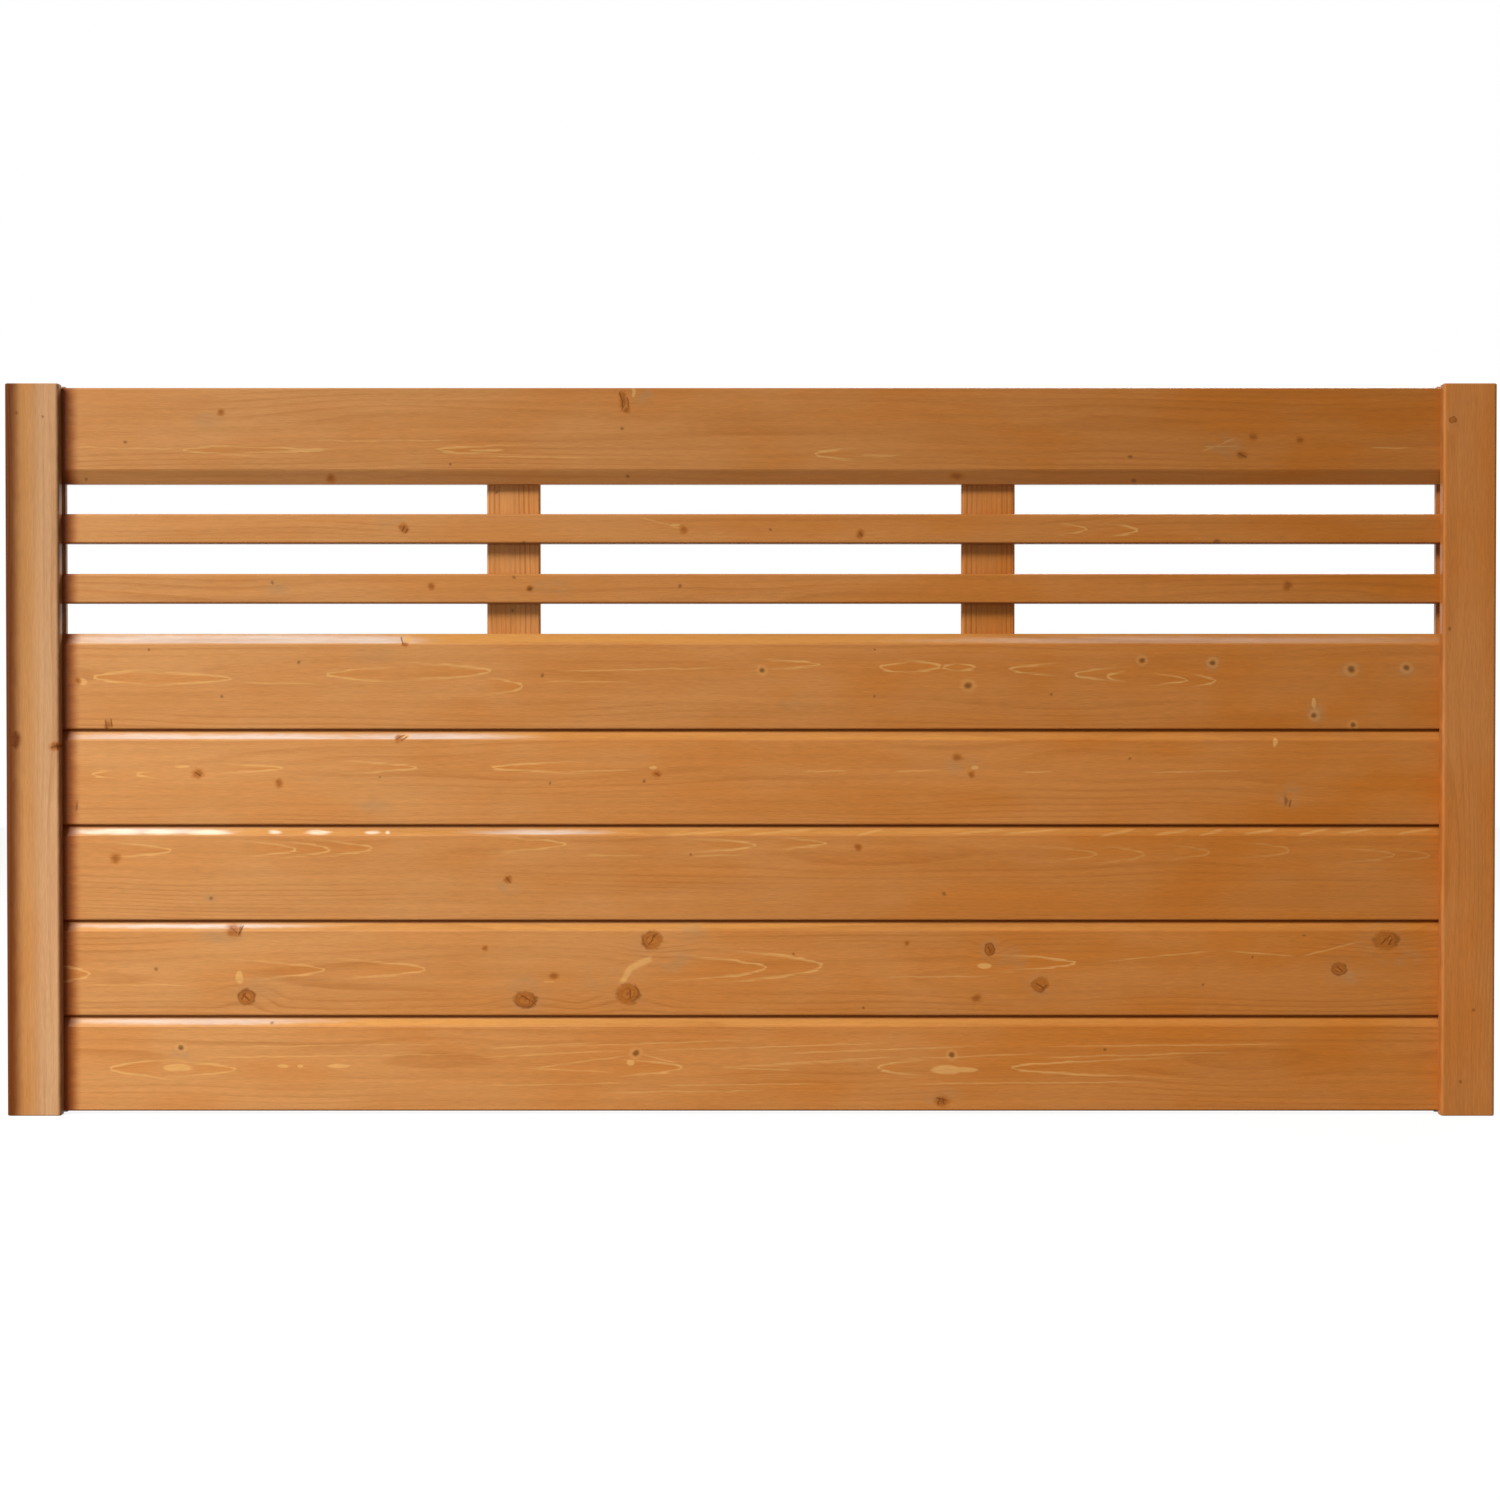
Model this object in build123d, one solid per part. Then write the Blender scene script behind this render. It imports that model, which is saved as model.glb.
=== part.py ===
from build123d import *
import os

# Softwood privacy fence panel, in millimetres.
# The front looks along -Y, +X is the viewer's right, and the posts stand on Z = 0.

# Panel
PANEL_WIDTH = 1800.0
END_INSET = 3.75            # posts past the lowest board and past the rail

# Grooved posts
POST_FACE = 65.0
FRONT_LIP = 14.4            # timber in front of the groove
BACK_LIP = 12.2             # timber behind the groove
GROOVE_DEPTH = 20.0
GROOVE_CLEARANCE = 0.2      # on each side of a board
EXPANSION_GAP = 2.0         # between a board's end and the floor of the groove
POST_ARRIS = 4.0
POST_END_CHAMFER = 1.0

# Tongue-and-groove boards, from the lowest up
BOARD_NAMES = ["bottom_board", "fourth_board", "middle_board", "second_board", "top_board"]
BOARD_COVER = 116.0
BOARD_THICKNESS = 18.0
BOARD_ARRIS = 2.5           # rounded lower front edge
CHAMFER_HEIGHT = 13.5
CHAMFER_DEPTH = 6.0
FRONT_SHOULDER = 1.5        # flat between the chamfer and the tongue
TONGUE_THICKNESS = 5.0
TONGUE_HEIGHT = 7.0
TONGUE_CLEARANCE = 0.2      # on each face of the tongue
TONGUE_TIP_GAP = 1.0

# Slats from the lower one up, light gaps and top rail
SLAT_NAMES = ["lower_slat", "upper_slat"]
SLAT_HEIGHT = 36.0
SLAT_ARRIS = 2.5
LIGHT_GAP = 36.5
RAIL_HEIGHT = 116.0
RAIL_ARRIS = 2.0
RAIL_CHAMFER_HEIGHT = 17.5
RAIL_CHAMFER_DEPTH = 7.0

# Battens behind the courses, from left to right
BATTEN_NAMES = ["left_batten", "right_batten"]
BATTEN_FACE = 65.0
BATTEN_INSET = 10.0         # batten ends inside the rail's top and the lowest board's foot
BATTEN_ARRIS = 3.0

# Galvanised staples, driven in from the back
STAPLE_CROWN = 10.0         # over both legs
STAPLE_WIRE = 1.2           # square wire
STAPLE_SINK = 0.4           # crown below the timber's back face
STAPLE_TIP_COVER = 5.0      # timber left in front of the tips
STAPLE_CLEARANCE = 0.1      # around a staple in its slot
STAPLE_TURN = 30.0          # degrees that the crown is turned from level

# Depths through the section, from the front of the posts at -Y to their back at +Y
GROOVE_WIDTH = BOARD_THICKNESS + 2 * GROOVE_CLEARANCE
POST_DEPTH = FRONT_LIP + GROOVE_WIDTH + BACK_LIP
FRONT_Y = -POST_DEPTH / 2
BACK_Y = POST_DEPTH / 2
GROOVE_FRONT_Y = FRONT_Y + FRONT_LIP
GROOVE_BACK_Y = GROOVE_FRONT_Y + GROOVE_WIDTH
BOARD_FRONT_Y = GROOVE_FRONT_Y + GROOVE_CLEARANCE
BOARD_BACK_Y = BOARD_FRONT_Y + BOARD_THICKNESS

# Places across the width
POST_INNER_X = PANEL_WIDTH / 2 - POST_FACE
GROOVE_FLOOR_X = POST_INNER_X + GROOVE_DEPTH
COURSE_LENGTH = 2 * (GROOVE_FLOOR_X - EXPANSION_GAP)
BATTEN_COUNT = len(BATTEN_NAMES)
BAY_WIDTH = (2 * POST_INNER_X - BATTEN_COUNT * BATTEN_FACE) / (BATTEN_COUNT + 1)
BATTEN_PITCH = BAY_WIDTH + BATTEN_FACE
BATTEN_X = [(i - (BATTEN_COUNT - 1) / 2) * BATTEN_PITCH for i in range(BATTEN_COUNT)]
POST_STAPLE_X = (POST_INNER_X + COURSE_LENGTH / 2) / 2

# Heights of the courses, from the lowest board up
BOARD_Z = [END_INSET + i * BOARD_COVER for i in range(len(BOARD_NAMES))]
STACK_TOP_Z = BOARD_Z[-1] + BOARD_COVER
SLAT_PITCH = SLAT_HEIGHT + LIGHT_GAP
SLAT_Z = [STACK_TOP_Z + LIGHT_GAP + i * SLAT_PITCH for i in range(len(SLAT_NAMES))]
RAIL_Z = SLAT_Z[-1] + SLAT_PITCH
RAIL_TOP_Z = RAIL_Z + RAIL_HEIGHT
POST_LENGTH = RAIL_TOP_Z + END_INSET

# One length of staple serves the battens and the posts' rear lips
STAPLE_CROWN_Y = BACK_Y - STAPLE_SINK
STAPLE_LENGTH = STAPLE_CROWN_Y - BOARD_FRONT_Y - STAPLE_TIP_COVER


def outline(corners):
    """A closed face through corners given as (across, up, edge radius)."""
    points = [(across, up) for across, up, radius in corners]
    radii = [radius for across, up, radius in corners]
    return make_face(FilletPolyline(*points, radius=radii, close=True))


def course(corners, foot_z):
    """A horizontal piece: its section, given from its own foot, run between the two grooves."""
    section = Plane.YZ.offset(-COURSE_LENGTH / 2) * outline(corners)
    return Pos(0, 0, foot_z) * extrude(section, COURSE_LENGTH)


def board(foot_z, has_tongue):
    """A tongue-and-groove board, chamfered along its upper front edge."""
    chamfer_y = BOARD_FRONT_Y + CHAMFER_DEPTH
    tongue_front = chamfer_y + FRONT_SHOULDER
    tongue_back = tongue_front + TONGUE_THICKNESS
    groove_front = tongue_front - TONGUE_CLEARANCE
    groove_back = tongue_back + TONGUE_CLEARANCE
    groove_top = TONGUE_HEIGHT + TONGUE_TIP_GAP
    tongue_top = BOARD_COVER + TONGUE_HEIGHT
    lower_edge = [
        (BOARD_FRONT_Y, 0, BOARD_ARRIS),
        (groove_front, 0, 0),
        (groove_front, groove_top, 0),
        (groove_back, groove_top, 0),
        (groove_back, 0, 0),
        (BOARD_BACK_Y, 0, 0),
    ]
    tongue = [
        (tongue_back, BOARD_COVER, 0),
        (tongue_back, tongue_top, 0),
        (tongue_front, tongue_top, 0),
        (tongue_front, BOARD_COVER, 0),
    ]
    upper_edge = [
        (chamfer_y, BOARD_COVER, 0),
        (BOARD_FRONT_Y, BOARD_COVER - CHAMFER_HEIGHT, 0),
    ]
    middle = tongue if has_tongue else []
    return course(lower_edge + [(BOARD_BACK_Y, BOARD_COVER, 0)] + middle + upper_edge, foot_z)


def slat(foot_z):
    """A thin slat, rounded along its four edges."""
    return course(
        [
            (BOARD_FRONT_Y, 0, SLAT_ARRIS),
            (BOARD_BACK_Y, 0, SLAT_ARRIS),
            (BOARD_BACK_Y, SLAT_HEIGHT, SLAT_ARRIS),
            (BOARD_FRONT_Y, SLAT_HEIGHT, SLAT_ARRIS),
        ],
        foot_z,
    )


def rail():
    """The top rail, chamfered along its lower front edge and rounded on top."""
    return course(
        [
            (BOARD_FRONT_Y + RAIL_CHAMFER_DEPTH, 0, 0),
            (BOARD_BACK_Y, 0, 0),
            (BOARD_BACK_Y, RAIL_HEIGHT, RAIL_ARRIS),
            (BOARD_FRONT_Y, RAIL_HEIGHT, RAIL_ARRIS),
            (BOARD_FRONT_Y, RAIL_CHAMFER_HEIGHT, 0),
        ],
        RAIL_Z,
    )


def post(side):
    """A post with its groove open towards the middle; side is -1 at the left and 1 at the right."""
    outer = side * PANEL_WIDTH / 2
    inner = side * POST_INNER_X
    floor = side * GROOVE_FLOOR_X
    section = outline(
        [
            (outer, FRONT_Y, POST_ARRIS),
            (inner, FRONT_Y, POST_ARRIS),
            (inner, GROOVE_FRONT_Y, 0),
            (floor, GROOVE_FRONT_Y, 0),
            (floor, GROOVE_BACK_Y, 0),
            (inner, GROOVE_BACK_Y, 0),
            (inner, BACK_Y, POST_ARRIS),
            (outer, BACK_Y, POST_ARRIS),
        ]
    )
    timber = extrude(section, POST_LENGTH, dir=(0, 0, 1))
    ends = timber.faces().filter_by(Axis.Z).edges()
    return chamfer(ends, POST_END_CHAMFER)


def batten(middle_x):
    """A vertical batten that fills the space behind the courses, flush with the back of the posts."""
    section = outline(
        [
            (middle_x - BATTEN_FACE / 2, BOARD_BACK_Y, BATTEN_ARRIS),
            (middle_x + BATTEN_FACE / 2, BOARD_BACK_Y, BATTEN_ARRIS),
            (middle_x + BATTEN_FACE / 2, BACK_Y, BATTEN_ARRIS),
            (middle_x - BATTEN_FACE / 2, BACK_Y, BATTEN_ARRIS),
        ]
    )
    foot_z = END_INSET + BATTEN_INSET
    length = RAIL_TOP_Z - BATTEN_INSET - foot_z
    return Pos(0, 0, foot_z) * extrude(section, length, dir=(0, 0, 1))


def staple_body(gap, rise):
    """A staple with its crown at the origin and its legs along -Z, grown by gap and raised at the crown."""
    outside = STAPLE_CROWN / 2 + gap
    inside = STAPLE_CROWN / 2 - STAPLE_WIRE - gap
    under_crown = -STAPLE_WIRE - gap
    tip = -STAPLE_LENGTH - gap
    bent_wire = make_face(
        Polyline(
            (-outside, rise),
            (-outside, tip),
            (-inside, tip),
            (-inside, under_crown),
            (inside, under_crown),
            (inside, tip),
            (outside, tip),
            (outside, rise),
            close=True,
        )
    )
    return extrude(Plane.XZ * bent_wire, STAPLE_WIRE / 2 + gap, both=True)


def driven(shape, places):
    """Copies of a staple or its slot at (x, z) places, driven in from the back of the panel."""
    return [Pos(x, STAPLE_CROWN_Y, z) * Rot(-90, 0, 0) * Rot(0, 0, STAPLE_TURN) * shape for x, z in places]


def stacked(middle_x, stagger, foot_z, height):
    """Two staple places in a course, at its quarter heights and to either side of middle_x."""
    upper = (middle_x - stagger, foot_z + height * 3 / 4)
    lower = (middle_x + stagger, foot_z + height / 4)
    return [upper, lower]


def staple_places(middle_x, stagger):
    """Staple places down an upright: two in each board and in the rail, one in each slat."""
    places = [(middle_x, z + SLAT_HEIGHT / 2) for z in SLAT_Z]
    for z in BOARD_Z:
        places += stacked(middle_x, stagger, z, BOARD_COVER)
    return places + stacked(middle_x, stagger, RAIL_Z, RAIL_HEIGHT)


def on_course(places, foot_z, height):
    """The places that fall on a course."""
    return [(x, z) for x, z in places if foot_z < z < foot_z + height]


def write(name, shape):
    """Store one named piece."""
    shape.label = name
    export_step(shape, f"parts/{name}.step")


os.makedirs("parts", exist_ok=True)

staple = staple_body(0, 0)
slot = staple_body(STAPLE_CLEARANCE, STAPLE_SINK)
staples = {
    "left_post": staple_places(-POST_STAPLE_X, 0),
    "right_post": staple_places(POST_STAPLE_X, 0),
}
for name, x in zip(BATTEN_NAMES, BATTEN_X):
    staples[name] = staple_places(x, BATTEN_FACE / 4)
all_places = sum(staples.values(), [])

courses = {"top_rail": (rail(), RAIL_Z, RAIL_HEIGHT)}
for name, z in zip(SLAT_NAMES, SLAT_Z):
    courses[name] = (slat(z), z, SLAT_HEIGHT)
for name, z in zip(BOARD_NAMES, BOARD_Z):
    courses[name] = (board(z, has_tongue=name != BOARD_NAMES[-1]), z, BOARD_COVER)
for name, (timber, foot_z, height) in courses.items():
    write(name, timber - driven(slot, on_course(all_places, foot_z, height)))

uprights = {"left_post": post(-1), "right_post": post(1)}
for name, x in zip(BATTEN_NAMES, BATTEN_X):
    uprights[name] = batten(x)
for name, timber in uprights.items():
    write(name, timber - driven(slot, staples[name]))
    write(f"{name}_staples", Compound(driven(staple, staples[name])))
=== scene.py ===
"""Looks of the privacy fence panel: stained spruce, galvanised staples, studio light and camera."""
import math

import bpy
from mathutils import Euler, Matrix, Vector


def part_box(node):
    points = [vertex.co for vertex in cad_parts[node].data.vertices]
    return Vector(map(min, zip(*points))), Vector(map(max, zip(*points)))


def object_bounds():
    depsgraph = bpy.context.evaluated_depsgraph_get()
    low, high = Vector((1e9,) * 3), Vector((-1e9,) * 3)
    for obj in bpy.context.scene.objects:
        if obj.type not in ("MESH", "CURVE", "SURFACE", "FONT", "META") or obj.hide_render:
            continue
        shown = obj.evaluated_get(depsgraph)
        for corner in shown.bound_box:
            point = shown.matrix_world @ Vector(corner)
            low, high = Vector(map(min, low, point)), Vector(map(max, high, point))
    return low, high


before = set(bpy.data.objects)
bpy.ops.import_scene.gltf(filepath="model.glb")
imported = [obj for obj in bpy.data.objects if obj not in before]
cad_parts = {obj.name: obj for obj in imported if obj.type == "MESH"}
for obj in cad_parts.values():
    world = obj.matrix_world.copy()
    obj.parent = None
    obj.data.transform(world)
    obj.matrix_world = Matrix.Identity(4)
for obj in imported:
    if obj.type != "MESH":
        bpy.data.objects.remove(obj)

CAD_LOW, CAD_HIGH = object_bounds()
MIDDLE_Z = (CAD_LOW[2] + CAD_HIGH[2]) / 2
FRONT_Y = CAD_LOW[1]

# The photograph: its width and the place straight before the camera, in its pixels
PHOTO_WIDTH = 1500
PHOTO_AXIS_X = 750.9
PHOTO_AXIS_Y = 711.8

# Camera, as the photograph's perspective gives it, in metres and degrees
CAMERA_DISTANCE = 3.2
CAMERA_RISE = 0.046
CAMERA_PITCH = -0.83
CAMERA_LENS = 63.6
CAMERA_SENSOR = 36.0
CAMERA_SHIFT = (-0.0006, 0.0004)

# Light: place and size in metres, power in watts
KEY_LIGHT = {"place": (-3.2, -3.0, 3.45), "size": (2.6, 1.1), "watts": 322.0}
FILL_LIGHT = {"place": (-2.1, -2.4, 0.5), "size": (1.6, 1.0), "watts": 16.0}
BACK_LIGHT = {"place": (1.5, 2.6, 2.7), "size": (2.2, 1.6), "watts": 125.0}
AMBIENT = 0.20
FLOOR_SIZE = 16.0
FLOOR_GLOW = 0.90
FLOOR_SEEN = (0.14, 0.14, 0.14, 1.0)
FLOOR_BOUNCE = (0.20, 0.20, 0.20, 1.0)

# Stain and timber colours, with painted light and shade, as sRGB values from 0 to 255
# The next two give the stain's random blotches and also painted light: paler on the left, where the light
# falls, and deeper to the right
PALE_STAIN_AND_LIT_LEFT = (198, 138, 80)
DEEP_STAIN_AND_SHADED_RIGHT = (187, 108, 33)
RING_LINE = (154, 86, 28)
PALE_LINE = (216, 160, 92)
# Paler chamfers: partly wear, partly a painted highlight where the light falls on them
WORN_AND_LIT_EDGE = (198, 135, 64)
# Pale for painted glare on the chamfers, and for the milky spots and the paler wash
PALE_WOOD_AND_GLARE = (246, 226, 196)
# Painted sheen: the whitish reflection of the sky on the chamfers
PAINTED_SKY_SHEEN = (224, 212, 204)
# Dark of the joints: partly their own, partly painted shade in them, at lower edges and on the rail's chamfer
JOINT_DARK_AND_SHADE = (112, 50, 4)
FLAME_FILL = (190, 112, 36)
GREY_PATCH = (174, 128, 82)
# Dark brown for the band along the left post's outer edge and round its knot, and painted shade on the posts'
# inner sides
BROWN_BAND_AND_SHADE = (98, 40, 0)
# Painted shadow of the left post on the courses' left ends
POST_SHADOW_BROWN = (140, 60, 2)
KNOT_BODY = (170, 96, 27)
KNOT_RING = (98, 44, 6)
PIN_DARK = (86, 44, 13)
EYELET = (92, 60, 26)

GLOSS_TINT = (1.0, 0.96, 0.76, 1.0)
ZINC_DARK = (150, 152, 154)
ZINC_LIGHT = (196, 197, 198)

# Noises of the timber: waves per metre along and across the grain, detail and roughness
NOISES = {
    "wobble": (45.0, 110.0, 1.0, 0.5),
    "wander": (2.5, 9.0, 1.0, 0.5),
    "shown": (3.0, 26.0, 1.0, 0.5),
    "feather": (28.0, 420.0, 1.0, 0.5),
    "grime": (26.0, 44.0, 2.0, 0.6),
    "fleck": (160.0, 260.0, 1.0, 0.5),
    "fibre": (60.0, 900.0, 2.0, 0.6),
    "streak": (3.0, 130.0, 2.0, 0.55),
    "blotch": (6.0, 15.0, 2.0, 0.55),
}
SEED_STEP = (3.7, 1.9, 0.7)

# Reach of the pushes along, across and into the timber, and the relief of its fibres, in metres
WOBBLE_REACH = (0.005, 0.003, 0.0)
WANDER_REACH = (0.0, 0.016, 0.016)
FIBRE_RELIEF = 0.0003

# Half widths of the drawn lines, in metres
STROKE_HALF = 0.0014
SHEEN_HALF = 0.0022
BAND_HALF = 0.0055
CRACK_HALF = 0.0013

# Where the colour changes on the shaped edges, with wear and painted highlight on chamfers and painted shade
# in joints, in metres behind the front face
CHAMFER_START = (0.0003, 0.0012)
CHAMFER_END = (0.0075, 0.0085)
WEAR_AND_HIGHLIGHT_END = (0.0032, 0.0048)
JOINT_START = (0.0038, 0.0056)

# How far up a dark lower edge reaches, a joint line with painted shade on the downturned edge, in metres
# above the piece's lowest point
BOARD_FOOT = (0.0004, 0.0012)
LOWEST_FOOT = (0.0004, 0.0030)
ROUNDED_EDGE = (0.0006, 0.0034)

# Where the wear and painted highlight of the chamfers fade to the right, and the blend between upper and
# lower edges, in metres
WEAR_AND_HIGHLIGHT_FADE = (-0.5, 0.8)
EDGE_BLEND = 0.001

# Strength of a faint flame, as a share of a clear one
FAINT_TIP = 0.4

# Phase of a knot's year rings from its middle to its edge, in radians
KNOT_YEARS = 14.0

# Length of the bulge that the grain makes past a knot, as a share of the knot's own
KNOT_STRETCH = 2.2

# Distance that stands for no spot at all
FAR_AWAY = 99.0

# Painted shadow of the left post on the courses' left ends, as a spot in the photograph's pixels
LEFT_POST_SHADOW_SPOT = (62, 750, 13, 3000)


def linear(colour):
    """An sRGB colour from 0 to 255 as linear red, green, blue and alpha."""
    parts = [c / 255 for c in colour]
    return [c / 12.92 if c <= 0.04045 else ((c + 0.055) / 1.055) ** 2.4 for c in parts] + [1.0]


def pixel_at(depth_y):
    """The size in metres of one of the photograph's pixels on an upright plane at that depth."""
    return (depth_y - FRONT_Y + CAMERA_DISTANCE) * CAMERA_SENSOR / CAMERA_LENS / PHOTO_WIDTH


class Graph:
    """Short names for making and linking shader nodes."""

    def __init__(self, owner):
        owner.use_nodes = True
        self.tree = owner.node_tree

    def add(self, kind, inputs, **settings):
        node = self.tree.nodes.new(kind)
        for key, value in settings.items():
            setattr(node, key, value)
        for key, value in inputs.items():
            self.feed(node.inputs[key], value)
        return node

    def feed(self, socket, value):
        if isinstance(value, bpy.types.NodeSocket):
            self.tree.links.new(value, socket)
        else:
            socket.default_value = value

    def math(self, operation, a, b=0.0):
        return self.add("ShaderNodeMath", {0: a, 1: b}, operation=operation).outputs[0]

    def vector(self, operation, a, b):
        return self.add("ShaderNodeVectorMath", {0: a, 1: b}, operation=operation).outputs["Vector"]

    def dot(self, a, b):
        return self.add("ShaderNodeVectorMath", {0: a, 1: b}, operation="DOT_PRODUCT").outputs["Value"]

    def length(self, vector):
        return self.add("ShaderNodeVectorMath", {0: vector}, operation="LENGTH").outputs["Value"]

    def split(self, vector):
        return self.add("ShaderNodeSeparateXYZ", {0: vector}).outputs

    def join(self, x, y, z):
        return self.add("ShaderNodeCombineXYZ", {0: x, 1: y, 2: z}).outputs[0]

    def noise(self, vector, stretch, detail=2.0, roughness=0.5):
        scaled = self.vector("MULTIPLY", vector, stretch)
        inputs = {"Vector": scaled, "Scale": 1.0, "Detail": detail, "Roughness": roughness}
        return self.add("ShaderNodeTexNoise", inputs).outputs

    def smooth(self, value, low, high, start=0.0, end=1.0):
        inputs = {0: value, 1: low, 2: high, 3: start, 4: end}
        return self.add("ShaderNodeMapRange", inputs, interpolation_type="SMOOTHSTEP").outputs[0]

    def mix(self, factor, a, b):
        return self.add("ShaderNodeMix", {0: factor, 6: a, 7: b}, data_type="RGBA").outputs[2]

    def product(self, *values):
        total = values[0]
        for value in values[1:]:
            total = self.math("MULTIPLY", total, value)
        return total

    def extreme(self, operation, values, start):
        total = start
        for value in values:
            total = self.math(operation, total, value)
        return total


class Timber:
    """Stained spruce for one piece, with its figure placed by the photograph's pixels.

    heart is (across, depth) in metres from the piece's middle to the heart of the tree, upright is true where
    the grain runs up, tone scales the whole colour of the piece, contrast how strongly the growth rings show,
    ring the width of one in metres, gloss the specular level, wash the share of paler stain all over, and
    paler_foot how much an upright pales from its middle to its foot, and deepens to its top.

    slope names the shaped front edge: "top" for the chamfer of the board under the light gaps, "upper" for
    one with a joint behind it, "lowest" for that of the last board, which has a dark foot too, "lower" for
    the rail's chamfer and "rounded" for a slat.

    The figure is lists in pixels. Knots, smudges, eyelets, pins, pale, bare, thin, milky, grey and shade are
    spots: (px, py, half width, half height). Tips and faint are flames: (px, py, run, half height), with a
    positive run where the tip points right. Strokes, sheens, bands and cracks are lines: (px, py, end px,
    end py).
    """

    def __init__(self, node, seed, heart, upright=False, tone=1.0, contrast=0.26, ring=0.003, gloss=0.2,
                 wash=0.0, paler_foot=0.0, slope=None, **figure):
        self.material = bpy.data.materials.new(f"{node}_timber")
        self.graph = g = Graph(self.material)
        self.heart = heart
        self.upright = upright
        self.tone = tone
        self.contrast = contrast
        self.ring = ring
        self.gloss = gloss
        self.wash = wash
        self.paler_foot = paler_foot
        self.slope = slope
        self.figure = figure

        low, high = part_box(node)
        order = (2, 0, 1) if upright else (0, 2, 1)
        middle = [(low[i] + high[i]) / 2 for i in order]
        self.half = [(high[i] - low[i]) / 2 for i in order]
        self.pixel = pixel_at(low[1])
        place = g.split(g.add("ShaderNodeTexCoord", {}).outputs["Object"])
        self.across_panel = place[0]
        self.point = g.join(*[place[i] for i in order])
        self.local = g.vector("SUBTRACT", self.point, middle)
        self.shifted = g.vector("ADD", self.local, [seed * step for step in SEED_STEP])
        self.traced = g.vector("ADD", self.point, g.vector("MULTIPLY", self.drift("wobble"), WOBBLE_REACH))
        self.feather = self.noise("feather")["Fac"]
        self.grime = self.noise("grime")["Fac"]
        self.streak = self.noise("streak")["Fac"]

        colour = self.stain()
        colour = self.grain(colour)
        colour = self.knots(colour)
        colour = self.pinholes(colour)
        self.surface(colour)

    def noise(self, name):
        """One of the timber's noises: a single value as Fac, three of them as Color."""
        along, across, detail, roughness = NOISES[name]
        return self.graph.noise(self.shifted, (along, across, across), detail, roughness)

    def drift(self, name):
        """A noise as a push to either side, up to a half on each axis."""
        return self.graph.vector("SUBTRACT", self.noise(name)["Color"], (0.5, 0.5, 0.5))

    def placed(self, px, py):
        """A point of the photograph on the front of this piece, as (along, across, 0) in metres."""
        x = (px - PHOTO_AXIS_X) * self.pixel
        z = MIDDLE_Z + CAMERA_RISE + (PHOTO_AXIS_Y - py) * self.pixel
        return (z, x, 0.0) if self.upright else (x, z, 0.0)

    def nearest(self, kind, stretch=1.0):
        """Distance to the nearest spot of a kind, as a share of that spot's own size."""
        g = self.graph
        distances = []
        for px, py, half_width, half_height in self.figure.get(kind, ()):
            along, across = (half_height, half_width) if self.upright else (half_width, half_height)
            shrink = (1 / (along * stretch * self.pixel), 1 / (across * self.pixel), 0.0)
            offset = g.vector("SUBTRACT", self.traced, self.placed(px, py))
            distances.append(g.length(g.vector("MULTIPLY", offset, shrink)))
        return g.extreme("MINIMUM", distances, FAR_AWAY)

    def flames(self):
        """Pale lines and fill where growth rings run out of the face in a tip, its depth in pixels."""
        g = self.graph
        lines, fills = [], []
        ragged = g.smooth(self.feather, 0.25, 0.75, -0.7, 0.7)
        tips = [(*tip, 1.0) for tip in self.figure.get("tips", ())]
        tips += [(*tip, FAINT_TIP) for tip in self.figure.get("faint", ())]
        for px, py, run, half_height, strength in tips:
            offset = g.vector("SUBTRACT", self.placed(px, py), self.traced)
            scale = (1 / (run * self.pixel), 1 / (half_height * self.pixel), 0.0)
            along, across = g.split(g.vector("MULTIPLY", offset, scale))[:2]
            square = g.product(across, across)
            inside = g.math("SUBTRACT", along, square)
            steep = g.math("ADD", g.product(square, 4 / half_height ** 2), 1 / run ** 2)
            depth = g.math("ADD", g.math("DIVIDE", inside, g.math("SQRT", steep)), ragged)
            fade = g.smooth(along, 0.15, 1.5, strength, 0.0)
            edge = g.product(g.smooth(depth, -1.0, 0.1), g.smooth(depth, 0.5, 2.8, 1.0, 0.0))
            lines.append(g.product(edge, fade))
            fills.append(g.product(g.smooth(depth, 0.0, 4.0), fade))
        return g.extreme("MAXIMUM", lines, 0.0), g.extreme("MAXIMUM", fills, 0.0)

    def lines(self, kind, half_width):
        """Single lines from one point to another, fading out at both ends."""
        g = self.graph
        drawn = []
        for px, py, end_px, end_py in self.figure.get(kind, ()):
            first = Vector(self.placed(px, py))
            run = Vector(self.placed(end_px, end_py)) - first
            offset = g.vector("SUBTRACT", self.traced, first)
            share = g.dot(offset, run / run.length_squared)
            away = g.math("ABSOLUTE", g.dot(offset, Vector((-run.y, run.x, 0.0)) / run.length))
            body = g.smooth(away, 0.3 * half_width, half_width, 1.0, 0.0)
            ends = g.product(g.smooth(share, 0.0, 0.2), g.smooth(share, 0.75, 1.0, 1.0, 0.0))
            drawn.append(g.product(body, ends))
        return g.extreme("MAXIMUM", drawn, 0.0)

    def rings(self):
        """Latewood lines of the growth rings round the heart of the tree, bulging past the knots."""
        g = self.graph
        bent = g.vector("ADD", self.local, g.vector("MULTIPLY", self.drift("wander"), WANDER_REACH))
        radial = g.vector("MULTIPLY", g.vector("SUBTRACT", bent, (0.0, *self.heart)), (0.0, 1.0, 1.0))
        lift = g.smooth(self.nearest("knots", KNOT_STRETCH), 0.4, 2.6, 1.2, 0.0)
        turn = g.math("FRACT", g.math("ADD", g.math("DIVIDE", g.length(radial), self.ring), lift))
        late = g.product(g.smooth(turn, 0.45, 0.85), g.smooth(turn, 0.88, 1.0, 1.0, 0.0))
        return g.product(late, g.smooth(self.noise("shown")["Fac"], 0.35, 0.68))

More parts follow.
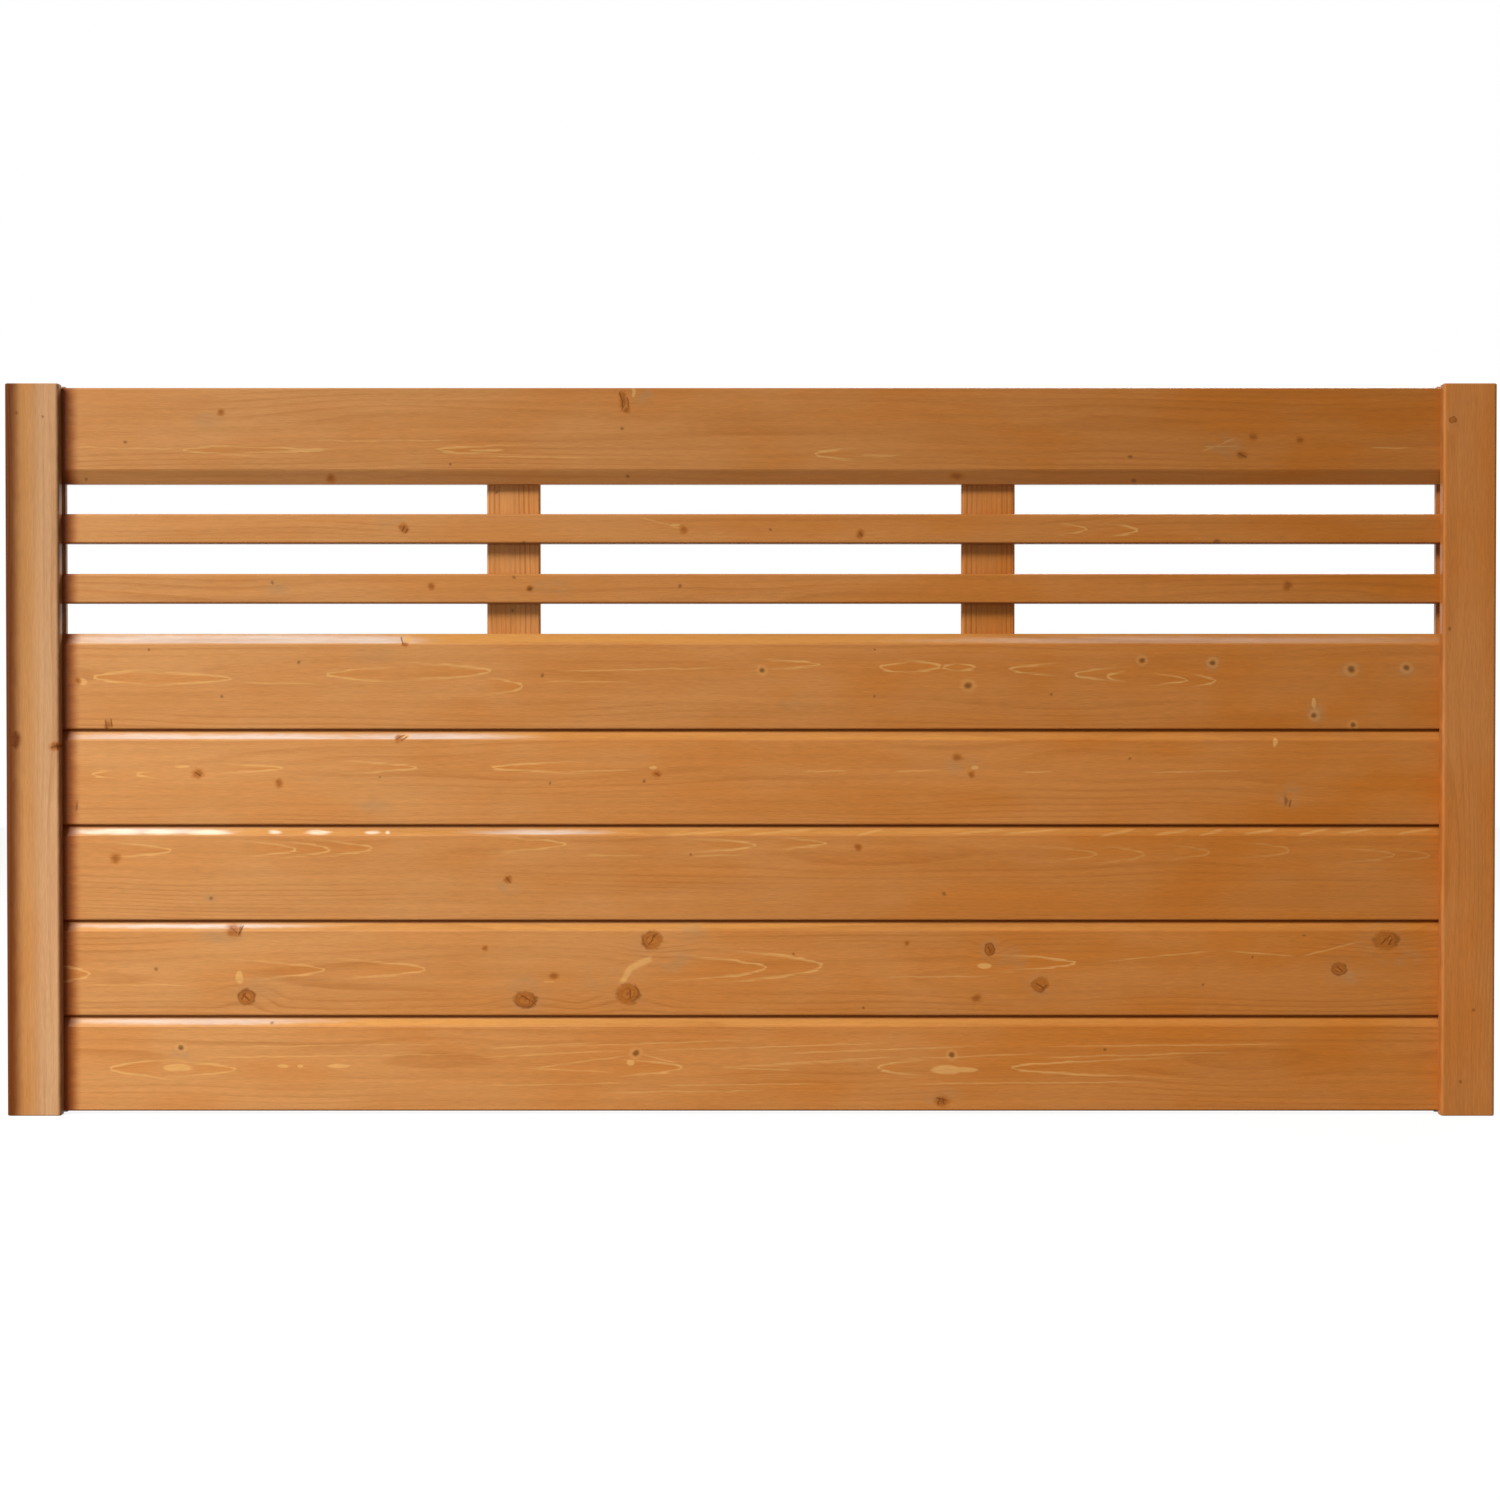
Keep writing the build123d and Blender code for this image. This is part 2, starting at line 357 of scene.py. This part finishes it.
    def edge_wear(self):
        """Shares of paler stain and painted highlight on a front chamfer, and of dark joints with painted
        shade in them and at lower edges.
        """
        g = self.graph
        if self.slope is None:
            return 0.0, 0.0
        across, deep = g.split(self.local)[1:]
        recess = g.math("ADD", deep, self.half[2])
        height = g.math("ADD", across, self.half[1])
        if self.slope == "rounded":
            # Painted shade along a slat's lower edge
            return 0.0, g.smooth(height, *ROUNDED_EDGE, 0.6, 0.0)
        chamfer = g.product(g.smooth(recess, *CHAMFER_START), g.smooth(recess, *CHAMFER_END, 1.0, 0.0))
        if self.slope == "lower":
            # Painted shade on the rail's downturned chamfer
            return 0.0, g.product(chamfer, g.smooth(across, -EDGE_BLEND, 0.0, 0.22, 0.0))
        chamfer = g.product(chamfer, g.smooth(across, 0.0, EDGE_BLEND))
        # Chamfer wear and painted highlight, fading to the right as the light does
        wear_and_highlight = g.product(chamfer, g.smooth(self.streak, 0.3, 0.65, 0.7, 1.0))
        wear_and_highlight = g.product(wear_and_highlight, g.smooth(self.across_panel, *WEAR_AND_HIGHLIGHT_FADE, 1.0, 0.35))
        # Dark foot: a joint line, with painted shade on the downturned edge
        foot = g.smooth(height, *(LOWEST_FOOT if self.slope == "lowest" else BOARD_FOOT), 0.6, 0.0)
        if self.slope == "top":
            return wear_and_highlight, foot
        wear_and_highlight = g.product(wear_and_highlight, g.smooth(recess, *WEAR_AND_HIGHLIGHT_END, 1.0, 0.0))
        # Painted shade in the joint, on the top of the chamfer under the board above
        dark_joint_and_shade = g.product(chamfer, g.smooth(recess, *JOINT_START, 0.0, 0.7))
        return wear_and_highlight, g.math("MAXIMUM", foot, dark_joint_and_shade)

    def stain(self):
        """The stain with its blotches, painted light making it paler on the left and deeper to the right,
        chamfer wear with painted highlight, painted glare and sky sheen, milky spots, dark joints with
        painted shade, and shade spots.
        """
        g = self.graph
        blotch = g.smooth(self.noise("blotch")["Fac"], 0.32, 0.70, 0.0, 0.3)
        # Painted light: the stain deepens from the left end to the right as the light falls off
        painted_falloff = g.smooth(self.across_panel, CAD_LOW[0], CAD_HIGH[0], 0.0, 0.7)
        colour = g.mix(g.math("ADD", blotch, painted_falloff), linear(PALE_STAIN_AND_LIT_LEFT), linear(DEEP_STAIN_AND_SHADED_RIGHT))
        wear_and_highlight, dark_joint_and_shade = self.edge_wear()
        # Chamfer wear and painted highlight
        colour = g.mix(wear_and_highlight, colour, linear(WORN_AND_LIT_EDGE))
        # Painted sheens: pale streaks of reflected light along the chamfers and a post's arris
        colour = g.mix(g.product(self.lines("sheens", SHEEN_HALF), 0.45), colour, linear(PALE_LINE))
        # Painted sheen of the sky on the chamfers
        thin = g.smooth(self.nearest("thin"), 0.2, 1.2, 0.7, 0.0)
        colour = g.mix(g.product(wear_and_highlight, thin), colour, linear(PAINTED_SKY_SHEEN))
        # Painted glare: white patches of reflected light on a chamfer, with frayed edges
        frayed = g.smooth(self.feather, 0.3, 0.7, -0.1, 0.1)
        bare = g.smooth(g.math("ADD", self.nearest("bare"), frayed), 0.35, 1.15, 0.85, 0.0)
        colour = g.mix(g.product(wear_and_highlight, bare), colour, linear(PALE_WOOD_AND_GLARE))
        milky = g.math("MAXIMUM", g.smooth(self.nearest("milky"), 0.3, 1.3, 0.17, 0.0), self.wash)
        colour = g.mix(milky, colour, linear(PALE_WOOD_AND_GLARE))
        # Dark joints with painted shade in them and at lower edges
        colour = g.mix(dark_joint_and_shade, colour, linear(JOINT_DARK_AND_SHADE))
        # Shade spots: painted shadow of the left post on the courses, and on the posts a dark band and
        # painted shade on their inner sides
        shade = g.smooth(self.nearest("shade"), 0.45, 1.5, 0.95, 0.0)
        return g.mix(shade, colour, linear(BROWN_BAND_AND_SHADE if self.upright else POST_SHADOW_BROWN))

    def grain(self, colour):
        """Growth rings, flames, single grain lines and pale streaks over the stain."""
        g = self.graph
        line, fill = self.flames()
        line = g.math("MAXIMUM", line, g.product(self.lines("strokes", STROKE_HALF), 0.6))
        line = g.product(line, g.smooth(self.feather, 0.2, 0.55, 0.35, 1.0))
        colour = g.mix(g.product(self.rings(), self.contrast), colour, linear(RING_LINE))
        colour = g.mix(g.product(fill, 0.35), colour, linear(FLAME_FILL))
        colour = g.mix(g.product(line, 0.8), colour, linear(PALE_LINE))
        pale = g.smooth(self.nearest("pale"), 0.75, 1.1, 0.8, 0.0)
        pale = g.math("MAXIMUM", pale, g.product(self.lines("bands", BAND_HALF), 0.8))
        return g.mix(pale, colour, linear(PALE_LINE))

    def knots(self, colour):
        """Knots with year rings, a dark outline, cracks and greyed timber round them, and smudged ones."""
        g = self.graph
        knot = self.nearest("knots")
        grey = g.smooth(self.nearest("grey"), 0.2, 1.4, 0.6, 0.0)
        grey = g.math("MAXIMUM", grey, g.smooth(knot, 0.9, 3.2, 0.3, 0.0))
        colour = g.mix(g.product(grey, g.smooth(self.grime, 0.30, 0.66)), colour, linear(GREY_PATCH))

        fleck = self.noise("fleck")["Fac"]
        ragged = g.math("ADD", knot, g.smooth(fleck, 0.3, 0.7, -0.08, 0.08))
        colour = g.mix(g.smooth(ragged, 0.7, 1.3, 0.8, 0.0), colour, linear(KNOT_BODY))
        outline = g.product(g.smooth(ragged, 0.60, 0.92), g.smooth(ragged, 0.95, 1.25, 1.0, 0.0))
        outline = g.product(outline, g.smooth(self.grime, 0.38, 0.62, 0.18, 0.6))
        year = g.smooth(g.math("SINE", g.product(ragged, KNOT_YEARS)), 0.1, 1.0, 0.0, 0.4)
        year = g.product(year, g.smooth(ragged, 0.75, 0.95, 1.0, 0.0))
        year = g.product(year, g.smooth(self.grime, 0.35, 0.55, 0.4, 1.0))
        crack = g.product(self.lines("cracks", CRACK_HALF), 0.75)
        smudge = g.math("ADD", self.nearest("smudges"), g.smooth(fleck, 0.3, 0.7, -0.12, 0.12))
        colour = g.mix(g.smooth(smudge, 0.5, 1.4, 0.75, 0.0), colour, linear(KNOT_BODY))
        smudged = g.smooth(smudge, 0.1, 1.0, 0.4, 0.0)
        dark = g.extreme("MAXIMUM", [year, crack, smudged], outline)
        return g.mix(dark, colour, linear(KNOT_RING))

    def pinholes(self, colour):
        """Small dead knots with a pale rim, and pin knots."""
        g = self.graph
        eyelet = self.nearest("eyelets")
        rim = g.product(g.smooth(eyelet, 0.9, 1.5, 0.0, 0.28), g.smooth(eyelet, 1.5, 2.6, 1.0, 0.0))
        colour = g.mix(rim, colour, linear(PALE_LINE))
        colour = g.mix(g.smooth(eyelet, 0.4, 1.25, 0.75, 0.0), colour, linear(EYELET))
        pin = g.smooth(self.nearest("pins"), 0.3, 1.3, 0.55, 0.0)
        return g.mix(pin, colour, linear(PIN_DARK))

    def surface(self, colour):
        """Fine fibres in the colour and the bump, under a satin gloss."""
        g = self.graph
        fibre = self.noise("fibre")["Fac"]
        fine = g.smooth(fibre, 0.2, 0.8, 0.90, 1.09)
        fine = g.math("ADD", fine, g.smooth(self.streak, 0.25, 0.75, -0.05, 0.05))
        along = g.split(self.local)[0]
        end = self.half[0]
        paler = g.smooth(along, -end, end, 1 + self.paler_foot, 1 - self.paler_foot)
        level = g.product(fine, paler, self.tone)
        colour = g.vector("MULTIPLY", colour, g.join(level, level, level))
        bump = g.add("ShaderNodeBump", {"Strength": 0.2, "Distance": FIBRE_RELIEF, "Height": fibre})

        shader = g.tree.nodes["Principled BSDF"].inputs
        g.feed(shader["Base Color"], colour)
        g.feed(shader["Roughness"], g.smooth(self.streak, 0.3, 0.7, 0.35, 0.44))
        g.feed(shader["Normal"], bump.outputs[0])
        shader["Specular IOR Level"].default_value = self.gloss
        shader["Specular Tint"].default_value = GLOSS_TINT


def galvanised():
    """Zinc-coated staple wire with a faint mottle."""
    material = bpy.data.materials.new("galvanised_wire")
    g = Graph(material)
    place = g.add("ShaderNodeTexCoord", {}).outputs["Object"]
    mottle = g.noise(place, (700.0, 700.0, 700.0))["Fac"]
    shader = g.tree.nodes["Principled BSDF"].inputs
    colour = g.mix(g.smooth(mottle, 0.3, 0.7), linear(ZINC_DARK), linear(ZINC_LIGHT))
    g.feed(shader["Base Color"], colour)
    g.feed(shader["Roughness"], g.smooth(mottle, 0.3, 0.7, 0.30, 0.48))
    shader["Metallic"].default_value = 1.0
    return material


def dress(node, material):
    """Give a CAD node its material."""
    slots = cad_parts[node].data.materials
    slots.clear()
    slots.append(material)


def area_light(name, place, size, watts):
    """A rectangular soft light aimed at the panel's middle."""
    lamp = bpy.data.lights.new(name, "AREA")
    lamp.shape = "RECTANGLE"
    lamp.size, lamp.size_y = size
    lamp.energy = watts
    holder = bpy.data.objects.new(name, lamp)
    holder.location = place
    aim = Vector((0.0, 0.0, MIDDLE_Z)) - Vector(place)
    holder.rotation_euler = aim.to_track_quat("-Z", "Y").to_euler()
    bpy.context.scene.collection.objects.link(holder)


def seen_directly(graph):
    """1 for rays that show the backdrop: from the camera, or mirrored or let through by the object."""
    path = graph.add("ShaderNodeLightPath", {}).outputs
    kinds = [path["Is Camera Ray"], path["Is Glossy Ray"], path["Is Transmission Ray"]]
    return graph.extreme("MAXIMUM", kinds, 0.0)


def studio():
    """White world, three soft lights and a pale floor that keeps the panel's shadow."""
    world = bpy.data.worlds.new("studio")
    bpy.context.scene.world = world
    g = Graph(world)
    background = g.tree.nodes["Background"].inputs
    background["Color"].default_value = (1.0, 1.0, 1.0, 1.0)
    g.feed(background["Strength"], g.smooth(seen_directly(g), 0.0, 1.0, AMBIENT, 1.0))

    area_light("key_light", **KEY_LIGHT)
    area_light("fill_light", **FILL_LIGHT)
    area_light("back_light", **BACK_LIGHT)

    half = FLOOR_SIZE / 2
    corners = [(-half, -half, 0), (half, -half, 0), (half, half, 0), (-half, half, 0)]
    mesh = bpy.data.meshes.new("floor")
    mesh.from_pydata(corners, [], [(0, 1, 2, 3)])
    floor = bpy.data.objects.new("floor", mesh)
    bpy.context.scene.collection.objects.link(floor)
    paint = bpy.data.materials.new("floor_paint")
    g = Graph(paint)
    shader = g.tree.nodes["Principled BSDF"].inputs
    seen = seen_directly(g)
    g.feed(shader["Base Color"], g.mix(seen, FLOOR_BOUNCE, FLOOR_SEEN))
    g.feed(shader["Emission Strength"], g.product(seen, FLOOR_GLOW))
    shader["Emission Color"].default_value = (1.0, 1.0, 1.0, 1.0)
    shader["Roughness"].default_value = 0.9
    shader["Specular IOR Level"].default_value = 0.0
    mesh.materials.append(paint)


def camera():
    """The photograph's camera: almost square on, from a little above the middle."""
    lens = bpy.data.cameras.new("camera")
    lens.lens = CAMERA_LENS
    lens.sensor_width = CAMERA_SENSOR
    lens.shift_x, lens.shift_y = CAMERA_SHIFT
    holder = bpy.data.objects.new("camera", lens)
    bpy.context.scene.collection.objects.link(holder)
    holder.location = (0.0, FRONT_Y - CAMERA_DISTANCE, MIDDLE_Z + CAMERA_RISE)
    holder.rotation_euler = Euler((math.radians(90 + CAMERA_PITCH), 0.0, 0.0))
    bpy.context.scene.camera = holder


# The pieces of timber, with their figure measured in the photograph

# The tones mostly rise from the rail down to the bottom board, so the courses are darker towards the top
def top_rail():
    return Timber(
        "top_rail", seed=1, heart=(0.01, 0.07), tone=0.79, slope="lower",
        shade=[LEFT_POST_SHADOW_SPOT],
        smudges=[(222, 412, 4.5, 4), (623, 400, 4, 10), (627, 410, 4, 4), (1252, 437, 5, 4),
                 (1241, 455, 6, 4), (1300, 440, 4, 4), (331, 478, 5, 4.5), (957, 476, 8, 4)],
        cracks=[(620, 390, 623, 412), (627, 396, 629, 409), (1236, 453, 1247, 458)],
        pins=[(126, 442, 2.2, 2), (451, 464, 1.8, 1.8), (622, 429, 2, 2), (1130, 456, 2.5, 2),
              (1134, 480, 3, 2), (86, 479, 2, 1.5), (628, 476, 2.5, 2)],
        pale=[(634, 392, 2, 6), (306, 450.5, 20, 1.5), (487, 450.5, 18, 1.2)],
        grey=[(208, 420, 16, 8), (644, 395, 12, 12), (1228, 444, 22, 13)],
        tips=[(185, 450, -70, 6), (326, 450, 90, 3), (439, 450, -70, 5), (815, 454, -35, 6)],
        strokes=[(70, 447, 185, 449), (300, 441, 480, 440), (480, 456, 600, 458),
                 (1367, 447, 1410, 448), (858, 455, 904, 455), (860, 457, 900, 456),
                 (1198, 453, 1238, 437), (1202, 447, 1240, 446)])


def upper_slat():
    return Timber(
        "upper_slat", seed=2, heart=(0.03, 0.05), tone=0.87, slope="rounded",
        shade=[LEFT_POST_SHADOW_SPOT],
        smudges=[(404, 528, 5.5, 5), (683, 530, 4.5, 4), (860, 534, 4.5, 5)],
        cracks=[(401, 532, 407, 525), (404, 533, 409, 528), (858, 531, 863, 537)],
        strokes=[(664, 523, 682, 529), (640, 517, 668, 525)],
        pins=[(770, 530, 1.5, 1.5), (524, 542, 2, 1.5), (1216, 541, 4, 3)],
        pale=[(676, 525, 5, 1.2)],
        grey=[(388, 522, 18, 8)],
        tips=[(1087, 529, 25, 6), (1137, 530, 25, 6)])


def lower_slat():
    return Timber(
        "lower_slat", seed=3, heart=(-0.02, 0.06), tone=0.88, slope="rounded",
        shade=[LEFT_POST_SHADOW_SPOT],
        smudges=[(432, 586, 4, 4), (1287, 585, 5, 6), (530, 588, 4, 4)],
        pins=[(273, 582, 2, 2), (514, 577, 2, 2), (530, 589, 2.8, 2.5), (680, 586, 2.5, 2.5)],
        grey=[(552, 588, 22, 10), (280, 588, 14, 8)])


def top_board():
    return Timber(
        "top_board", seed=4, heart=(0.0, 0.08), tone=0.94, slope="top",
        shade=[LEFT_POST_SHADOW_SPOT],
        smudges=[(78, 680, 3.5, 3), (108, 725, 4, 5), (405, 644, 4, 2.5)],
        eyelets=[(762, 670, 3, 2.8), (968, 685, 4, 3.6), (1142, 660, 3, 2.6), (1213, 662, 3.2, 2.8),
                 (1351, 669, 4, 3.2), (1406, 667, 3.4, 2.8), (1314, 715, 3.2, 3),
                 (1353, 724, 2.8, 2.6)],
        cracks=[(400, 636, 404, 646), (105, 718, 107, 731), (111, 717, 112, 728)],
        thin=[(150, 640, 120, 9), (270, 640, 160, 9), (370, 641, 60, 8), (1200, 640, 300, 5)],
        pins=[(149, 649, 1.6, 1.6), (299, 662, 2, 2), (222, 696, 2, 2), (542, 675, 2.2, 2.2),
              (875, 649, 1.4, 1.4), (874, 696, 1.4, 1.4), (1051, 694, 1.6, 1.6)],
        pale=[(1314, 703, 2, 6), (407, 639, 5, 3.5), (83, 681, 5, 3.5), (109, 728, 2.5, 3)],
        grey=[(375, 655, 24, 9), (800, 701, 20, 8), (1143, 662, 10, 8), (1214, 664, 10, 8),
              (1350, 671, 13, 10), (1406, 669, 10, 8), (1316, 712, 10, 12)],
        tips=[(94, 677, -60, 8), (231, 678, 90, 7), (327, 674, -70, 8), (490, 671, 80, 9),
              (523, 686, 30, 8), (820, 664, 50, 5), (880, 667, -30, 6), (940, 666, 30, 6),
              (943, 667, -14, 4), (975, 667, 18, 4), (1010, 669, -40, 6), (1075, 674, -35, 7),
              (1107, 676, -15, 5), (1187, 679, 30, 6), (1216, 680, 20, 6)],
        strokes=[(550, 671, 735, 667), (540, 681, 640, 682), (235, 682, 330, 684)])


def second_board():
    return Timber(
        "second_board", seed=5, heart=(0.01, 0.09), tone=1.03, slope="upper",
        shade=[LEFT_POST_SHADOW_SPOT],
        smudges=[(198, 773, 6.5, 5), (279, 783, 4, 5), (399, 738, 4, 4), (657, 774, 5, 4),
                 (958, 757, 6, 4.5), (972, 774, 4, 4)],
        pins=[(76, 806, 1.6, 6), (550, 783, 1.6, 1.6), (380, 777, 1.5, 1.5), (1286, 800, 2, 6),
              (1290, 803, 1.5, 5), (1130, 758, 1.8, 1.8), (644, 781, 2, 2)],
        pale=[(653, 767, 4, 2), (975, 767, 4, 2), (1275, 742, 2.5, 5), (182, 766, 8, 1.6),
              (405, 736, 4.5, 3)],
        cracks=[(395, 740, 405, 734), (401, 741, 408, 736), (194, 771, 202, 776), (655, 772, 660, 776)],
        thin=[(150, 737, 110, 4.6), (260, 737, 150, 4.4), (420, 737, 120, 5)],
        grey=[(375, 806, 20, 8), (965, 765, 20, 12), (1290, 795, 14, 14)],
        tips=[(283, 768, 60, 5), (417, 767, 65, 6), (493, 767, -80, 6), (93, 774, -16, 4),
              (137, 774, -14, 3)],
        strokes=[(800, 771, 850, 770), (890, 771, 945, 770), (1020, 772, 1055, 771),
                 (1140, 772, 1250, 770), (560, 771, 640, 770)])


def middle_board():
    return Timber(
        "middle_board", seed=6, heart=(0.02, 0.06), tone=1.02, slope="upper",
        shade=[LEFT_POST_SHADOW_SPOT],
        smudges=[(115, 858, 6, 5), (508, 879, 4.5, 4.5), (858, 847, 4.5, 4)],
        cracks=[(506, 876, 511, 883)],
        thin=[(140, 831, 100, 4.5), (540, 832, 80, 3.5)],
        pins=[(211, 898, 2.4, 2), (690, 854, 1.5, 1.5), (944, 894, 2.2, 2.5)],
        grey=[(211, 898, 9, 5), (508, 885, 12, 8)],
        # Painted glare on the chamfer
        bare=[(104, 832, 32, 3.4), (120, 832.5, 24, 4.2), (160, 832, 22, 3.2), (208, 832.5, 25, 3.6),
              (275, 832, 8, 2.4), (318, 832, 14, 3), (372, 832, 9, 2.4), (387, 832, 3, 2)],
        tips=[(170, 850, 60, 8), (295, 849, 45, 8), (329, 849, 40, 8), (372, 848, 45, 8),
              (565, 844, 70, 8), (755, 845, 60, 7), (825, 843, 40, 6)],
        faint=[(1097, 854, 55, 8), (1145, 854, 45, 9), (1210, 852, 40, 8), (1290, 850, 45, 8),
               (1395, 855, 45, 7), (1430, 855, 30, 6)],
        sheens=[(495, 834, 595, 829), (655, 836, 760, 828), (745, 835, 822, 828), (856, 836, 884, 829),
                (950, 834, 1010, 829), (1000, 834, 1065, 829), (1098, 836, 1138, 829),
                (1152, 835, 1194, 829), (1198, 836, 1226, 829), (1242, 834, 1280, 829),
                (1296, 835, 1334, 828), (1338, 833, 1374, 829), (1396, 834, 1436, 828)],
        strokes=[(580, 855, 650, 855), (685, 856, 750, 854)])


def fourth_board():
    return Timber(
        "fourth_board", seed=7, heart=(-0.01, 0.07), tone=1.07, slope="upper", contrast=0.34,
        shade=[LEFT_POST_SHADOW_SPOT],
        knots=[(246, 997, 8, 8), (525, 1000, 11, 8), (652, 940, 10, 9), (628, 994, 11, 10),
               (990, 949, 5, 6), (1041, 985, 8, 7), (1340, 969, 7, 6), (1387, 940, 12, 9)],
        smudges=[(233, 930, 8, 7), (485, 948, 3.5, 3), (554, 976, 5, 4), (977, 998, 6, 4),
                 (907, 943, 3, 3), (992, 950, 3.5, 5)],
        thin=[(190, 926, 150, 3)],
        pins=[(155, 969, 2.4, 2.2), (240, 930, 2, 6), (793, 954, 1.6, 1.4), (864, 1008, 1.8, 1.8),
              (1253, 957, 1.6, 1.6), (1204, 985, 1.6, 1.6), (1305, 935, 2.5, 1)],
        pale=[(239, 977, 4, 7), (985, 966, 8, 3)],
        bands=[(654, 957, 626, 970), (633, 963, 620, 986)],
        cracks=[(519, 994, 532, 1002), (531, 1000, 537, 1006), (648, 947, 656, 931),
                (653, 938, 659, 932), (629, 988, 631, 1001), (634, 985, 640, 994),
                (229, 926, 238, 934), (238, 936, 243, 924), (242, 992, 250, 1002),
                (241, 1001, 246, 991), (1036, 982, 1046, 990), (1042, 991, 1048, 984),
                (1380, 945, 1394, 934), (1388, 946, 1395, 938), (988, 945, 992, 954),
                (1337, 966, 1344, 973)],
        grey=[(670, 960, 24, 14), (600, 978, 22, 14), (690, 932, 18, 10), (220, 935, 24, 10),
              (1400, 957, 24, 10), (1010, 960, 18, 14), (1355, 975, 16, 10), (265, 985, 18, 14),
              (525, 985, 18, 10)],
        tips=[(88, 974, 25, 8), (323, 970, 75, 10), (425, 969, 80, 10), (766, 968, 75, 12),
              (822, 966, 90, 16), (1075, 963, 65, 8)],
        strokes=[(528, 1010, 538, 1003), (624, 1005, 639, 1000), (542, 982, 556, 982),
                 (1043, 993, 1050, 988), (80, 985, 200, 985), (880, 977, 1000, 976),
                 (1100, 962, 1220, 950), (1220, 950, 1300, 957), (1300, 957, 1365, 940)])


def bottom_board():
    return Timber(
        "bottom_board", seed=8, heart=(0.0, 0.08), tone=1.13, slope="lowest", contrast=0.3,
        shade=[LEFT_POST_SHADOW_SPOT],
        smudges=[(943, 1102, 8, 6)],
        eyelets=[(180, 1048, 2.8, 2.8), (636, 1053, 3.2, 3.2), (952, 1055, 3, 3)],
        thin=[(190, 1021, 160, 4.5)],
        pins=[(1105, 1050, 1.8, 1.8), (271, 1023, 1.8, 1.5)],
        cracks=[(935, 1098, 949, 1101), (938, 1106, 941, 1097), (945, 1106, 943, 1097)],
        pale=[(176, 1068, 15, 4), (630, 1063, 4, 3.5), (947, 1070, 16, 5), (964, 1070, 15, 2.8),
              (282, 1066, 6, 1.8), (300, 1066, 3, 1.6), (338, 1066, 12, 2)],
        grey=[(942, 1096, 20, 10), (180, 1056, 12, 8)],
        tips=[(109, 1069, -60, 10), (235, 1069, 60, 8), (682, 1068, 50, 8), (878, 1068, -40, 8),
              (1012, 1068, -140, 10)],
        strokes=[(524, 1070, 640, 1054), (522, 1068, 620, 1073), (640, 1054, 680, 1064),
                 (712, 1068, 930, 1055), (714, 1067, 800, 1071), (736, 1067, 880, 1060),
                 (470, 1058, 640, 1050), (540, 1047, 760, 1040), (640, 1051, 900, 1043),
                 (770, 1054, 990, 1046), (890, 1060, 1050, 1053), (480, 1049, 610, 1042),
                 (470, 1086, 650, 1083), (650, 1086, 830, 1084), (600, 1093, 770, 1091),
                 (1030, 1058, 1250, 1052), (190, 1058, 480, 1054), (1040, 1047, 1300, 1044),
                 (220, 1047, 460, 1044), (900, 1084, 1180, 1082)])


def left_post():
    return Timber(
        "left_post", seed=9, heart=(0.03, 0.02), upright=True, tone=0.84, gloss=0.1, paler_foot=0.17,
        smudges=[(55, 746, 6, 5)],
        pins=[(18, 413, 2, 2), (44, 417, 1.5, 1.5), (11, 905, 2, 3), (57, 746, 3, 2)],
        cracks=[(9, 726, 11, 748), (9, 736, 21, 737), (15, 728, 16, 750), (10, 745, 19, 744),
                (50, 748, 61, 745), (56, 742, 58, 751)],
        milky=[(52, 750, 20, 3000)],
        # A dark band along the outer edge and round the knot, then painted shade on the inner side
        shade=[(4, 750, 14, 3000), (13, 739, 8, 13), (65, 750, 6, 3000)])


def right_post():
    return Timber(
        "right_post", seed=10, heart=(-0.03, 0.03), upright=True, tone=1.05, gloss=0.15, wash=0.03,
        paler_foot=0.08,
        knots=[(1452, 420, 4, 3)],
        pins=[(1449, 628, 1.8, 2.4), (1475, 1011, 1.8, 1.8), (1462, 1082, 2, 2)],
        # Painted highlight along the inner arris, where the light falls
        sheens=[(1440.5, 100, 1440.5, 1400)],
        # Painted shade on the inner side
        shade=[(1437, 750, 5, 3000)])


def left_batten():
    return Timber(
        "left_batten", seed=11, heart=(0.09, 0.02), upright=True, tone=0.93, contrast=0.75,
        ring=0.0055,
        pins=[(497, 492, 2, 2), (513, 610, 1.8, 1.8)])


def right_batten():
    return Timber(
        "right_batten", seed=12, heart=(-0.09, 0.02), upright=True, tone=0.89, contrast=0.75,
        ring=0.0055)


for piece in (top_rail, upper_slat, lower_slat, top_board, second_board, middle_board, fourth_board,
              bottom_board, left_post, right_post, left_batten, right_batten):
    dress(piece.__name__, piece().material)
wire = galvanised()
for upright_name in ("left_post", "right_post", "left_batten", "right_batten"):
    dress(f"{upright_name}_staples", wire)

studio()
camera()
bpy.context.scene.view_settings.view_transform = "Standard"
